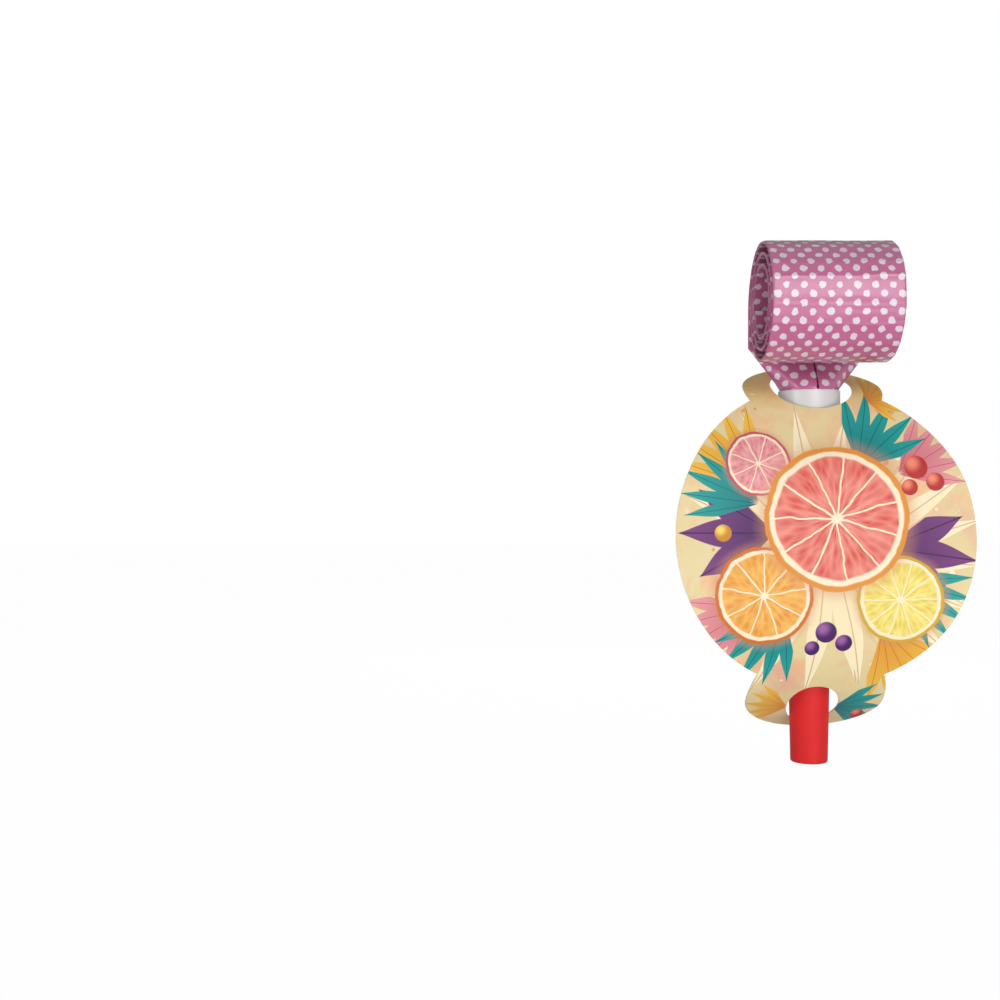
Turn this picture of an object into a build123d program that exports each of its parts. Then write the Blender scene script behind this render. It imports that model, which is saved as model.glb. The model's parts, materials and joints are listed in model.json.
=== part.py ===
"""Party blower: a paper tube that rolls out when blown, a reed mouthpiece and a bowed card.

The origin is at the mouth end, on the tube's axis. +Z runs up the tube to the roll, and the card's
face and the roll look to -Y. All sizes are in millimetres.
"""

import math
import os

from build123d import *

os.makedirs("parts", exist_ok=True)

# A half and a quarter of a circle, in degrees
half_turn = 180.0
quarter_turn = half_turn / 2

# Mouthpiece: a slim tapered tube with a shoulder and a spigot for the collar
mouth_diameter = 10.5
cone_top_diameter = 13.6
cone_length = 74.0
cone_wall = 1.0
mouth_bore_diameter = 8.4
mouth_bore_length = 14.0
rim_rounding = 0.6
shoulder_height = 2.0
spigot_length = 8.0

# Collar: a thin sleeve that holds the mouthpiece at one end and the paper at the other
collar_diameter = 17.4
collar_wall = 0.5
collar_length = 30.2
seat_clearance = 0.05

# Reed: a plug with a long air channel, a springy tongue over the channel and a ring round its root
reed_flange_height = 2.0
reed_body_diameter = 8.0
reed_body_length = 24.0
reed_flat_offset = 0.6
channel_width = 3.6
channel_depth = 2.4
channel_end_wall = 2.0
tongue_width = 4.8
tongue_length = 22.5
tongue_thickness = 0.15
tongue_rest_gap = 0.12
tongue_root_gap = 0.3
clamp_height = 4.5
clamp_gap = 0.15

# Paper: a flattened tube, gathered round at the collar
paper_width = 35.0
paper_thickness = 0.9
paper_wall = 0.2
cuff_length = 8.2
cuff_flat = 0.05
flare_height = 12.3
flat_run = 9.5

# Roll: the paper's lengths, each an arc a little tighter than the one before
length_count = 24
length_samples = 9
length_turn = 45.0
length_gap = 0.1
first_radius = 17.4
radius_step = 0.375
tip_seal = 0.4

# Recoil spring: a flat strip in the middle of the paper tube
spring_width = 3.0
spring_clearance = 0.1
spring_root_length = 14.0
spring_tip_gap = 0.8

# Card: a disc with a holed lobe above and below, bowed to stand in front of the tube
card_thickness = 0.45
disc_half_width = 40.9
disc_end_inset = 2.7
disc_rise = 2.9
lower_hole_height = 17.1
lower_hole_clearance = 1.6
lower_hole_rise = 5.9
lower_hole_drop = 6.4
lower_lobe_margin = 12.1
lower_lobe_lift = 1.7
lower_lobe_rise = 19.0
lower_lobe_drop = 10.4
upper_hole_lift = 1.1
upper_hole_clearance = 2.8
upper_hole_rise = 5.0
upper_hole_drop = 6.6
upper_lobe_margin = 8.0
upper_lobe_sink = 0.9
upper_lobe_rise = 7.6
upper_lobe_drop = 10.6

# How far the card's middle stands off the tube, and where along it, from the bottom edge to the top one
lower_strip_standoff = 5.9
lower_fold_standoff = 3.4
lower_fold_lift = 4.4
belly_standoff = 13.9
belly_low_lift = 22.9
belly_high_lift = 45.9
chest_standoff = 8.0
chest_drop = 21.3
upper_fold_standoff = 0.7
upper_strip_standoff = 5.1
lower_strip_tilt = 27.0
upper_strip_tilt = 24.0

# Radii and heights that follow from the sizes above
mouth_radius = mouth_diameter / 2
cone_top_radius = cone_top_diameter / 2
mouth_bore_radius = mouth_bore_diameter / 2
collar_radius = collar_diameter / 2
collar_bore_radius = collar_radius - collar_wall
spigot_radius = collar_bore_radius - seat_clearance
spigot_bore_radius = cone_top_radius - cone_wall
collar_base = cone_length + shoulder_height
spigot_top = collar_base + spigot_length
collar_top = collar_base + collar_length
flare_top = collar_top + flare_height
roll_start = flare_top + flat_run
spring_thickness = paper_thickness - 2 * paper_wall - 2 * spring_clearance
lower_tube_radius = mouth_radius + (cone_top_radius - mouth_radius) * lower_hole_height / cone_length


def write_piece(piece, name):
    """Label one finished piece and write its STEP file."""
    piece.part.label = name
    export_step(piece.part, f"parts/{name}.step")


# Mouthpiece
with BuildPart() as mouthpiece:
    with BuildSketch(Plane.XZ):
        with BuildLine():
            Polyline(
                (mouth_bore_radius, 0),
                (mouth_radius, 0),
                (cone_top_radius, cone_length),
                (collar_radius, cone_length),
                (collar_radius, collar_base),
                (spigot_radius, collar_base),
                (spigot_radius, spigot_top),
                (spigot_bore_radius, spigot_top),
                (spigot_bore_radius, cone_length),
                (mouth_bore_radius, mouth_bore_length),
                close=True,
            )
        make_face()
    revolve(axis=Axis.Z)
    mouth_edges = mouthpiece.edges().filter_by(GeomType.CIRCLE).group_by(Axis.Z)[0]
    fillet(mouth_edges.sort_by(SortBy.RADIUS)[-1], radius=rim_rounding)
write_piece(mouthpiece, "mouthpiece")

# Collar
with BuildPart() as collar:
    with BuildSketch(Plane.XY.offset(collar_base)):
        Circle(collar_radius)
        Circle(collar_bore_radius, mode=Mode.SUBTRACT)
    extrude(amount=collar_length)
write_piece(collar, "collar")

# Reed holder: a flange in the collar and a flat-sided body that hangs into the mouthpiece's spigot
reed_body_radius = reed_body_diameter / 2
reed_base = spigot_top - reed_body_length
reed_flange_top = spigot_top + reed_flange_height
with BuildPart() as reed_holder:
    with BuildSketch(Plane.XY.offset(spigot_top)):
        Circle(spigot_radius)
    extrude(amount=reed_flange_height)
    with BuildSketch(Plane.XY.offset(reed_base)):
        Circle(reed_body_radius)
        with Locations((0, -reed_flat_offset)):
            Rectangle(
                reed_body_diameter,
                reed_body_diameter,
                align=(Align.CENTER, Align.MAX),
                mode=Mode.SUBTRACT,
            )
    extrude(amount=reed_body_length)
    with BuildSketch(Plane.XY.offset(reed_base + channel_end_wall)):
        with Locations((0, -reed_flat_offset)):
            Rectangle(channel_width, channel_depth, align=(Align.CENTER, Align.MIN))
    extrude(amount=reed_flange_top - reed_base - channel_end_wall, mode=Mode.SUBTRACT)
write_piece(reed_holder, "reed_holder")

# Reed tongue: lies a hair's breadth over the channel
tongue_top = spigot_top - tongue_root_gap
tongue_face = -reed_flat_offset - tongue_rest_gap
with BuildPart() as reed_tongue:
    with BuildSketch(Plane.XY.offset(tongue_top - tongue_length)):
        with Locations((0, tongue_face)):
            Rectangle(tongue_width, tongue_thickness, align=(Align.CENTER, Align.MAX))
    extrude(amount=tongue_length)
write_piece(reed_tongue, "reed_tongue")

# Reed clamp: a ring in the spigot's bore, flat on the tongue's side
clamp_flat = tongue_face - tongue_thickness - clamp_gap
with BuildPart() as reed_clamp:
    with BuildSketch(Plane.XY.offset(spigot_top - clamp_height)):
        Circle(spigot_bore_radius - seat_clearance)
        with BuildSketch(mode=Mode.PRIVATE) as clamp_opening:
            Circle(reed_body_radius + seat_clearance)
            with Locations((0, clamp_flat)):
                Rectangle(
                    reed_body_diameter + cone_top_diameter,
                    cone_top_diameter,
                    align=(Align.CENTER, Align.MAX),
                    mode=Mode.SUBTRACT,
                )
        add(clamp_opening.sketch, mode=Mode.SUBTRACT)
    extrude(amount=clamp_height)
write_piece(reed_clamp, "reed_clamp")

# Paper neck: a round cuff in the collar that flares into the flat tube, solid first and then its hollow
with BuildPart() as paper_neck:
    for inset, stretch_mode in ((0, Mode.ADD), (paper_wall, Mode.SUBTRACT)):
        cuff_size = 2 * spigot_radius - 2 * inset
        flat_size = (paper_width - 2 * inset, paper_thickness - 2 * inset)
        with BuildSketch(Plane.XY.offset(collar_top - cuff_length)):
            SlotOverall(cuff_size, cuff_size - cuff_flat)
        extrude(amount=cuff_length, mode=stretch_mode)
        with BuildSketch(Plane.XY.offset(collar_top)):
            SlotOverall(cuff_size, cuff_size - cuff_flat)
        with BuildSketch(Plane.XY.offset(flare_top)):
            SlotOverall(*flat_size)
        loft(ruled=True, mode=stretch_mode)
        with BuildSketch(Plane.XY.offset(flare_top)):
            SlotOverall(*flat_size)
        extrude(amount=flat_run, mode=stretch_mode)
write_piece(paper_neck, "paper_neck")

# Spring root: the strip's straight end, held in the neck's flat run
with BuildPart() as spring_root:
    with BuildSketch(Plane.XY.offset(roll_start - spring_root_length)):
        Rectangle(spring_width, spring_thickness)
    extrude(amount=spring_root_length)
write_piece(spring_root, "spring_root")


# Roll: every length starts a hair's breadth after the one before it, in the same direction
def roll_direction(angle):
    """Outward direction at one angle round the roll: 0 is its back, a quarter turn its top."""
    return Vector(0, math.cos(math.radians(angle)), math.sin(math.radians(angle)))


def roll_plane(centre, radius, angle):
    """Plane across the paper at one angle of an arc, facing the way that the paper runs."""
    origin = centre + roll_direction(angle) * radius
    return Plane(origin, x_dir=(1, 0, 0), z_dir=roll_direction(angle + quarter_turn))


winding = []
arc_centre = Vector(0, -first_radius, roll_start)
for index in range(length_count):
    arc_radius = first_radius - index * radius_step
    arc_start = index * length_turn
    arc_axis = Axis(arc_centre, (1, 0, 0))
    gap_turn = math.degrees(length_gap / arc_radius)
    start_plane = roll_plane(arc_centre, arc_radius, arc_start + gap_turn)
    is_tip = index == length_count - 1
    seal_turn = math.degrees(tip_seal / arc_radius) if is_tip else 0
    spring_stop = math.degrees((tip_seal + spring_tip_gap) / arc_radius) if is_tip else 0

    with BuildPart() as paper_tube:
        with BuildSketch(start_plane):
            SlotOverall(paper_width, paper_thickness)
        revolve(axis=arc_axis, revolution_arc=length_turn - gap_turn)
        with BuildSketch(start_plane):
            SlotOverall(paper_width - 2 * paper_wall, paper_thickness - 2 * paper_wall)
        revolve(axis=arc_axis, revolution_arc=length_turn - gap_turn - seal_turn, mode=Mode.SUBTRACT)
    write_piece(paper_tube, f"paper_tube_{index + 1:02d}")

    with BuildPart() as recoil_spring:
        with BuildSketch(start_plane):
            Rectangle(spring_width, spring_thickness)
        revolve(axis=arc_axis, revolution_arc=length_turn - gap_turn - spring_stop)
    write_piece(recoil_spring, f"recoil_spring_{index + 1:02d}")

    hinge = arc_centre + roll_direction(arc_start) * (arc_radius + paper_thickness / 2)
    print(f"hinge {index + 1:02d} at y {hinge.Y:.4f} z {hinge.Z:.4f}, arc radius {arc_radius:.3f}")
    arc_angles = [arc_start + step * length_turn / length_samples for step in range(length_samples)]
    winding.append([arc_centre + roll_direction(angle) * arc_radius for angle in arc_angles])
    arc_centre = arc_centre + roll_direction(arc_start + length_turn) * radius_step

turn_gaps = [
    (here - there).length - paper_thickness
    for inner in range(length_count)
    for outer in range(inner - 2)
    for here in winding[inner]
    for there in winding[outer]
]
unrolled = sum(math.radians(length_turn) * (first_radius - i * radius_step) for i in range(length_count))
print(f"least gap of the winding to itself {min(turn_gaps):.2f}, length of the rolled paper {unrolled:.1f}")

# Card: the bowed sheet, cut to the outline seen from the front
upper_hole_height = collar_top + upper_hole_lift
lower_lobe_height = lower_hole_height + lower_lobe_lift
upper_lobe_height = upper_hole_height - upper_lobe_sink
card_bottom = lower_lobe_height - lower_lobe_drop
card_top = upper_lobe_height + upper_lobe_rise
disc_half_height = (upper_hole_height - lower_hole_height) / 2 - disc_end_inset
disc_height = (upper_hole_height + lower_hole_height) / 2 + disc_rise
lower_hole_half_width = lower_tube_radius + lower_hole_clearance
upper_hole_half_width = collar_radius + upper_hole_clearance
lower_lobe_half_width = lower_hole_half_width + lower_lobe_margin
upper_lobe_half_width = upper_hole_half_width + upper_lobe_margin
bow_points = [
    (lower_tube_radius + lower_strip_standoff, card_bottom),
    (-lower_tube_radius - lower_fold_standoff, lower_hole_height + lower_fold_lift),
    (-lower_tube_radius - belly_standoff, lower_hole_height + belly_low_lift),
    (-lower_tube_radius - belly_standoff, lower_hole_height + belly_high_lift),
    (-collar_radius - chest_standoff, upper_hole_height - chest_drop),
    (-collar_radius - upper_fold_standoff, upper_hole_height - upper_hole_drop),
    (collar_radius + upper_strip_standoff, card_top),
]
strip_directions = [
    (-math.cos(math.radians(lower_strip_tilt)), math.sin(math.radians(lower_strip_tilt))),
    (math.cos(math.radians(upper_strip_tilt)), math.sin(math.radians(upper_strip_tilt))),
]
card_depth = 2 * (belly_standoff + collar_diameter)
card_ovals = [
    (disc_half_width, disc_height, disc_half_height, disc_half_height, Mode.ADD),
    (lower_lobe_half_width, lower_lobe_height, lower_lobe_rise, lower_lobe_drop, Mode.ADD),
    (upper_lobe_half_width, upper_lobe_height, upper_lobe_rise, upper_lobe_drop, Mode.ADD),
    (lower_hole_half_width, lower_hole_height, lower_hole_rise, lower_hole_drop, Mode.SUBTRACT),
    (upper_hole_half_width, upper_hole_height, upper_hole_rise, upper_hole_drop, Mode.SUBTRACT),
]
with BuildPart() as medallion_card:
    with BuildSketch(Plane.YZ):
        with BuildLine():
            Spline(*bow_points, tangents=strip_directions)
        trace(line_width=card_thickness)
    extrude(amount=disc_half_width, both=True)
    with BuildSketch(Plane.XZ):
        for half_width, widest_height, rise, drop, oval_mode in card_ovals:
            with BuildLine():
                middle = (0, widest_height)
                EllipticalCenterArc(middle, half_width, rise, start_angle=0, arc_size=half_turn)
                EllipticalCenterArc(middle, half_width, drop, start_angle=half_turn, arc_size=half_turn)
            make_face(mode=oval_mode)
    extrude(amount=card_depth, both=True, mode=Mode.INTERSECT)
write_piece(medallion_card, "medallion_card")
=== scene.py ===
# %% [markdown]
# # A paper party blower
#
# The real thing has four pieces that show: a red mouthpiece, a white collar, a dotted paper tube that
# lies flat and rolls up by itself, and a bowed round card threaded on the tube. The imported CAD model
# gives every place and every hinge, so this lesson only adds what the eye asks for: smooth turned
# plastic, creased paper, a printed card and the light to see them by.

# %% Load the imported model
import json
import math
import random

import bmesh
import bpy
import numpy as np
from mathutils import Matrix, Vector, noise


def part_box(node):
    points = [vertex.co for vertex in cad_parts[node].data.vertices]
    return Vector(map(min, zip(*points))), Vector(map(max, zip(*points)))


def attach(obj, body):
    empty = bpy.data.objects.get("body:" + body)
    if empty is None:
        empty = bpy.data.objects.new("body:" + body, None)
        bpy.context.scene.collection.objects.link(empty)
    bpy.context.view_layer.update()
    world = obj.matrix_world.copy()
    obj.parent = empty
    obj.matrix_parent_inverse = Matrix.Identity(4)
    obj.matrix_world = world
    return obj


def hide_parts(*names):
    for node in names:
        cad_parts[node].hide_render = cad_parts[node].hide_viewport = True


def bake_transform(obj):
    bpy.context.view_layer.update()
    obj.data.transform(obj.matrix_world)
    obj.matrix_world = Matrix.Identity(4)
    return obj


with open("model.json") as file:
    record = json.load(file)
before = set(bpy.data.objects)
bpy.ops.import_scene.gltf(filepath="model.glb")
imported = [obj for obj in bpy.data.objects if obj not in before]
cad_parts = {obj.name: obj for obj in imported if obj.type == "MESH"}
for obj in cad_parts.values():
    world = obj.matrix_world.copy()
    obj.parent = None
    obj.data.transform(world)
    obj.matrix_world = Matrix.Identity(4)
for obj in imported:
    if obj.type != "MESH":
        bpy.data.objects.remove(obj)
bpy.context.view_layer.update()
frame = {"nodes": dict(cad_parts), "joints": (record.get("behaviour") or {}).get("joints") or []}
MM = 0.001

# %% [markdown]
# ## The camera
#
# The photograph was taken level, a little below the middle of the blower's height and to its left.
# A lens is known by its focal length; on a picture of 1000 pixels one of 1285 pixels is a 46 mm lens
# on the usual 36 mm sensor. The place was worked out from the roll's two ends and the tube's edges.

# %% Camera
PICTURE = 1000
FOCAL_PIXELS = 1285
CAMERA_PLACE = (-0.0887, -0.369, 0.075)
NEAREST_SEEN = 0.01
camera_data = bpy.data.cameras.new("photo_camera")
camera_data.lens = camera_data.sensor_width * FOCAL_PIXELS / PICTURE
camera_data.clip_start = NEAREST_SEEN
camera = bpy.data.objects.new("photo_camera", camera_data)
camera.location = CAMERA_PLACE
camera.rotation_euler = (math.radians(90), 0, 0)
bpy.context.collection.objects.link(camera)
bpy.context.scene.camera = camera
bpy.context.scene.view_settings.view_transform = "Standard"
print("camera lens in mm:", round(camera_data.lens, 2))

# %% [markdown]
# ## Colour and nodes
#
# Colours are written as the sRGB hex codes that a paint program shows. Shaders reckon in linear light,
# so one function turns a code to linear. A second one adds a node, sets it and links it, which keeps a
# material's recipe readable from top to bottom.


# %% Helpers for materials
def colour(code):
    """Linear RGBA of an sRGB hex code."""
    parts = [int(code[place:place + 2], 16) / 255 for place in (1, 3, 5)]
    return [part / 12.92 if part <= 0.04045 else ((part + 0.055) / 1.055) ** 2.4 for part in parts] + [1.0]


def add(tree, kind, inputs=None, **settings):
    """Add one node with its settings; an input is a value or another node's output."""
    node = tree.nodes.new("ShaderNode" + kind)
    for name, value in settings.items():
        setattr(node, name, value)
    for socket, value in (inputs or {}).items():
        if isinstance(value, bpy.types.NodeSocket):
            tree.links.new(value, node.inputs[socket])
        else:
            node.inputs[socket].default_value = value
    return node


def new_finish(name):
    """A material with an empty tree and its output; returns the material, its tree and the output node."""
    material = bpy.data.materials.new(name)
    material.use_nodes = True
    material.node_tree.nodes.clear()
    return material, material.node_tree, add(material.node_tree, "OutputMaterial")


# %% [markdown]
# ## Finished pieces
#
# Every piece below ends the same way: its faces are smoothed, edges that turn sharply stay crisp, and its
# bmesh becomes a mesh object at the origin. Then it takes its materials and hides the CAD nodes that it
# replaces; some pieces then ride on a body of the CAD model.

# %% Helpers that finish a piece
CRISP = math.radians(32)


def placed(shape, name):
    """Make an object of a bmesh."""
    mesh = bpy.data.meshes.new(name)
    shape.to_mesh(mesh)
    shape.free()
    piece = bpy.data.objects.new(name, mesh)
    bpy.context.collection.objects.link(piece)
    return piece


def finished(shape, name, materials, nodes=()):
    """Turn a bmesh into a smooth object with crisp edges, named, slotted and standing for its CAD nodes."""
    bmesh.ops.recalc_face_normals(shape, faces=shape.faces)
    for face in shape.faces:
        face.smooth = True
    for edge in shape.edges:
        edge.smooth = len(edge.link_faces) == 2 and edge.calc_face_angle(0) < CRISP
    piece = placed(shape, name)
    for material in materials:
        piece.data.materials.append(material)
    if nodes:
        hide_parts(*nodes)
    return piece


# %% [markdown]
# ## Light and floor
#
# The roll has a broad sheen across its middle and a faint one below, and the tube is darker at its sides.
# So soft lights stood in front, one above the roll and two below it, and another to the left. Area lamps
# do that; one more behind lights the back and isn't mirrored, and a faint world fills the shadows. Camera
# rays see a plain white, as behind a cut-out photograph.

# %% World, lamps and floor
FILL_BELOW, FILL_ABOVE = 0.36, 0.11
MIRRORED_BEHIND = 0.4
world = bpy.data.worlds.new("white_studio")
world.use_nodes = True
tree = world.node_tree
tree.nodes.clear()
rays = add(tree, "LightPath")
seen = add(tree, "Math", {0: rays.outputs["Is Camera Ray"], 1: rays.outputs["Is Glossy Ray"]},
           operation="MAXIMUM")
seen = add(tree, "Math", {0: seen.outputs[0], 1: rays.outputs["Is Transmission Ray"]}, operation="MAXIMUM")
way = add(tree, "TexCoord")
way = add(tree, "SeparateXYZ", {0: way.outputs["Generated"]})
level = add(tree, "MapRange", {"Value": way.outputs["Z"], "From Min": -0.2, "From Max": 0.8,
                               "To Min": FILL_BELOW, "To Max": FILL_ABOVE})
fill = add(tree, "Background", {"Color": colour("#F6F7FA"), "Strength": level.outputs[0]})
# Mirrored from behind, the studio is dim, so the roll's top edge keeps its colour.
behind = add(tree, "MapRange", {"Value": way.outputs["Y"], "From Min": 0.1, "From Max": 0.6,
                                "To Min": 1.0, "To Max": MIRRORED_BEHIND})
bright = add(tree, "Math", {0: behind.outputs[0], 1: rays.outputs["Is Camera Ray"]}, operation="MAXIMUM")
white = add(tree, "Background", {"Color": (1, 1, 1, 1), "Strength": bright.outputs[0]})
mixed = add(tree, "MixShader", {0: seen.outputs[0], 1: fill.outputs[0], 2: white.outputs[0]})
add(tree, "OutputWorld", {"Surface": mixed.outputs[0]})
bpy.context.scene.world = world

LIT_POINT = Vector((0, -0.01, 0.075))
# Each lamp's place, width and height in metres, and its power in watts.
LAMPS = {
    "front_softbox": ((0.20, -0.84, 0.39), 0.26, 0.30, 1.7),
    "low_softbox": ((0.10, -0.80, 0.04), 0.60, 0.11, 1.1),
    "floor_softbox": ((0.07, -0.38, -0.02), 0.50, 0.09, 0.56),
    "left_softbox": ((-0.75, -0.45, 0.25), 0.30, 0.36, 1.5),
    "back_softbox": ((0.10, 0.85, 0.40), 0.60, 0.60, 3.4),
}
for name, (place, width, height, power) in LAMPS.items():
    lamp_data = bpy.data.lights.new(name, "AREA")
    lamp_data.shape = "RECTANGLE"
    lamp_data.size = width
    lamp_data.size_y = height
    lamp_data.energy = power
    lamp = bpy.data.objects.new(name, lamp_data)
    lamp.location = place
    lamp.rotation_euler = (LIT_POINT - Vector(place)).to_track_quat("-Z", "Y").to_euler()
    lamp.visible_glossy = name != "back_softbox"
    bpy.context.collection.objects.link(lamp)

FLOOR_DROP = 0.07
FLOOR_HALF = 4.0
FLOOR_WHITE = 0.985
floor_shape = bmesh.new()
bmesh.ops.create_grid(floor_shape, x_segments=1, y_segments=1, size=FLOOR_HALF)
bmesh.ops.translate(floor_shape, verts=floor_shape.verts, vec=(0, 0, -FLOOR_DROP))
floor = placed(floor_shape, "floor")
# Matt white seamless paper: it shows the shadow, and camera rays add enough white to meet the background.
floor_paper, tree, output = new_finish("seamless_white_paper")
rays = add(tree, "LightPath")
matt = add(tree, "BsdfDiffuse", {"Color": colour("#F8F8F8")})
glow = add(tree, "Emission", {"Color": (1, 1, 1, 1), "Strength": 1.0})
share = add(tree, "Math", {0: rays.outputs["Is Camera Ray"], 1: FLOOR_WHITE}, operation="MULTIPLY")
mixed = add(tree, "MixShader", {0: share.outputs[0], 1: matt.outputs[0], 2: glow.outputs[0]})
tree.links.new(mixed.outputs[0], output.inputs["Surface"])
floor.data.materials.append(floor_paper)
print("lamps:", ", ".join(LAMPS))

# %% [markdown]
# ## Dotted paper
#
# The tube is thin paper with a gloss coating, printed pink with white dots that look drawn by hand.
# The dots stand in staggered rows, so the print is two square lattices, one shifted by half a step.
# They follow the paper itself: the UV map holds millimetres across and millimetres along the tube.
# A little noise bends the coordinates, which gives each dot its uneven edge.

# %% Material: gloss-coated printed paper
DOT_STEP_ACROSS = 4.65
DOT_STEP_ALONG = 4.6
DOT_RADIUS = 0.93
DOT_EDGE = 0.10
DOT_WOBBLE = 1.0
DOT_GROWTH = 0.5
# Gloss coating over wood pulp: a tight soft highlight, broken by creases, over fine uneven ink.
paper_finish, tree, output = new_finish("gloss_coated_printed_paper")
run = add(tree, "UVMap", uv_map="paper_run")
wobble = add(tree, "TexNoise", {"Vector": run.outputs[0], "Scale": 0.95, "Detail": 3.0})
wobble = add(tree, "VectorMath", {0: wobble.outputs["Color"], 1: (0.5, 0.5, 0.5)}, operation="SUBTRACT")
bent = add(tree, "VectorMath", {0: wobble.outputs[0], 1: (DOT_WOBBLE, DOT_WOBBLE, 0), 2: run.outputs[0]},
           operation="MULTIPLY_ADD")
half_cell = Vector((DOT_STEP_ACROSS / 2, DOT_STEP_ALONG / 2, 1))
gaps = []
for shift in ((0, 0, 0), (half_cell.x, half_cell.y, 0)):
    moved = add(tree, "VectorMath", {0: bent.outputs[0], 1: shift}, operation="ADD")
    cell = add(tree, "VectorMath", {0: moved.outputs[0], 1: half_cell, 2: -half_cell}, operation="WRAP")
    flat = add(tree, "VectorMath", {0: cell.outputs[0], 1: (1, 1, 0)}, operation="MULTIPLY")
    gaps.append(add(tree, "VectorMath", {0: flat.outputs[0]}, operation="LENGTH").outputs["Value"])
nearest = add(tree, "Math", {0: gaps[0], 1: gaps[1]}, operation="MINIMUM")
growth = add(tree, "TexNoise", {"Vector": run.outputs[0], "Scale": 0.31, "Detail": 0.0})
nearest = add(tree, "Math", {0: growth.outputs["Fac"], 1: DOT_GROWTH, 2: nearest.outputs[0]},
              operation="MULTIPLY_ADD")
dot_rim = DOT_RADIUS + DOT_GROWTH / 2
dots = add(tree, "MapRange", {"Value": nearest.outputs[0], "From Min": dot_rim + DOT_EDGE,
                              "From Max": dot_rim - DOT_EDGE}, interpolation_type="SMOOTHSTEP")
cloud = add(tree, "TexNoise", {"Vector": run.outputs[0], "Scale": 0.16, "Detail": 4.0})
pink = add(tree, "Mix", {"Factor": cloud.outputs["Fac"], "A": colour("#B35B86"), "B": colour("#BF6892")},
           data_type="RGBA")
printed = add(tree, "Mix", {"Factor": dots.outputs[0], "A": pink.outputs["Result"], "B": colour("#D8CAD4")},
              data_type="RGBA")
fibre = add(tree, "TexNoise", {"Vector": run.outputs[0], "Scale": 2.2, "Detail": 6.0, "Roughness": 0.6})
sheen = add(tree, "MapRange", {"Value": fibre.outputs["Fac"], "To Min": 0.27, "To Max": 0.42})
tooth = add(tree, "Bump", {"Height": fibre.outputs["Fac"], "Strength": 0.10, "Distance": 0.05 * MM})
surface = add(tree, "BsdfPrincipled", {
    "Base Color": printed.outputs["Result"], "Roughness": sheen.outputs[0], "Normal": tooth.outputs[0],
    "IOR": 1.5, "Specular IOR Level": 0.25, "Coat Weight": 0.65, "Coat Roughness": 0.17, "Coat IOR": 1.45})
tree.links.new(surface.outputs[0], output.inputs["Surface"])
print("dots every", DOT_STEP_ACROSS, "by", DOT_STEP_ALONG, "mm")

# %% [markdown]
# ## The roll's path
#
# The paper winds up in eight arcs a turn, each a little tighter than the last, and every arc meets the
# next in the same direction. The CAD hinges lie on the paper's outer face where two arcs meet, so the
# first hinge gives the place where rolling starts. From it follow each arc's centre, its radius and how
# far along the paper it begins.

# %% Arcs of the roll
hinges = {joint["name"]: Vector(joint["pos_m"]) for joint in frame["joints"]}
LENGTH_COUNT = sum(name.startswith("unroll") for name in hinges)
LENGTH_TURN = math.radians(45)
FIRST_RADIUS = 17.4 * MM
RADIUS_STEP = 0.375 * MM
HALF_THICKNESS = 0.45 * MM
HALF_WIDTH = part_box("paper_tube_01")[1][0]
ROLL_START = hinges["unroll"].z
ACROSS = Vector((1, 0, 0))


def outward(angle):
    """Direction away from the roll's middle; angle 0 is its back and a quarter turn its top."""
    return Vector((0, math.cos(angle), math.sin(angle)))


arcs = []
centre, begun = Vector((0, -FIRST_RADIUS, ROLL_START)), 0.0
for index in range(LENGTH_COUNT):
    radius = FIRST_RADIUS - index * RADIUS_STEP
    arcs.append({"centre": centre.copy(), "radius": radius, "angle": index * LENGTH_TURN, "begun": begun})
    begun += radius * LENGTH_TURN
    centre = centre + outward((index + 1) * LENGTH_TURN) * RADIUS_STEP


def place_on(arc, share):
    """Middle of the paper at a share of one arc."""
    return arc["centre"] + outward(arc["angle"] + share * LENGTH_TURN) * arc["radius"]


print(LENGTH_COUNT, "lengths,", round(begun / MM, 1), "mm of rolled paper")

# %% [markdown]
# ## Creases
#
# Paper that is rolled up and blown out many times doesn't bend evenly. It breaks into narrow flats with
# a faint crease between them, and the flats are never quite parallel. Between two creases the paper here
# sinks from its arc towards the chord, and each crease keeps a fine ridge. Those on the roll's front are
# placed as in the photograph, by their angle round the roll in degrees; the others are drawn from a seeded
# list. Their sizes are in millimetres, and a depth is a share of the way to the chord.

# %% Crease function
SEEN_CREASES = (107, 124.8, 149.4, 163.2, 190.7, 208.3, 229.3, 250)
SEEN_DEPTH, SEEN_RIDGE = 0.6, 0.07
CREASE_GAPS = (4.0, 7.4)
CREASE_DEPTHS = (0.15, 0.5)
CREASE_RIDGES = (0.01, 0.06)
CREASE_TILT = 0.35
TILT_REACH = 17.5
RUN_MARGIN = 20
RIDGE_WIDTH = 0.4
CREASE_SEED = 11
# Slow changes as (height in mm, how quickly it changes per mm across and along, layer of the noise).
CREASE_BEND = (0.5, 0.11, 0.04, 3.1)
PAPER_WAVE = (0.05, 0.09, 0.16, 7.7)
PAPER_WRINKLE = (0.02, 0.13, 0.9, 1.3)
crease_runs = []
for angle in SEEN_CREASES:
    arc = arcs[int(math.radians(angle) / LENGTH_TURN)]
    crease_runs.append((arc["begun"] + arc["radius"] * (math.radians(angle) - arc["angle"])) / MM)
seen_runs = tuple(crease_runs)
crease_draw = random.Random(CREASE_SEED)
while crease_runs[0] > -RUN_MARGIN:
    crease_runs.insert(0, crease_runs[0] - crease_draw.uniform(*CREASE_GAPS))
while crease_runs[-1] < begun / MM + RUN_MARGIN:
    crease_runs.append(crease_runs[-1] + crease_draw.uniform(*CREASE_GAPS))
crease_tilts = [crease_draw.uniform(-CREASE_TILT, CREASE_TILT) for _ in crease_runs]
crease_depths = [crease_draw.uniform(*CREASE_DEPTHS) for _ in crease_runs]
crease_ridges = [crease_draw.uniform(*CREASE_RIDGES) for _ in crease_runs]
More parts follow.
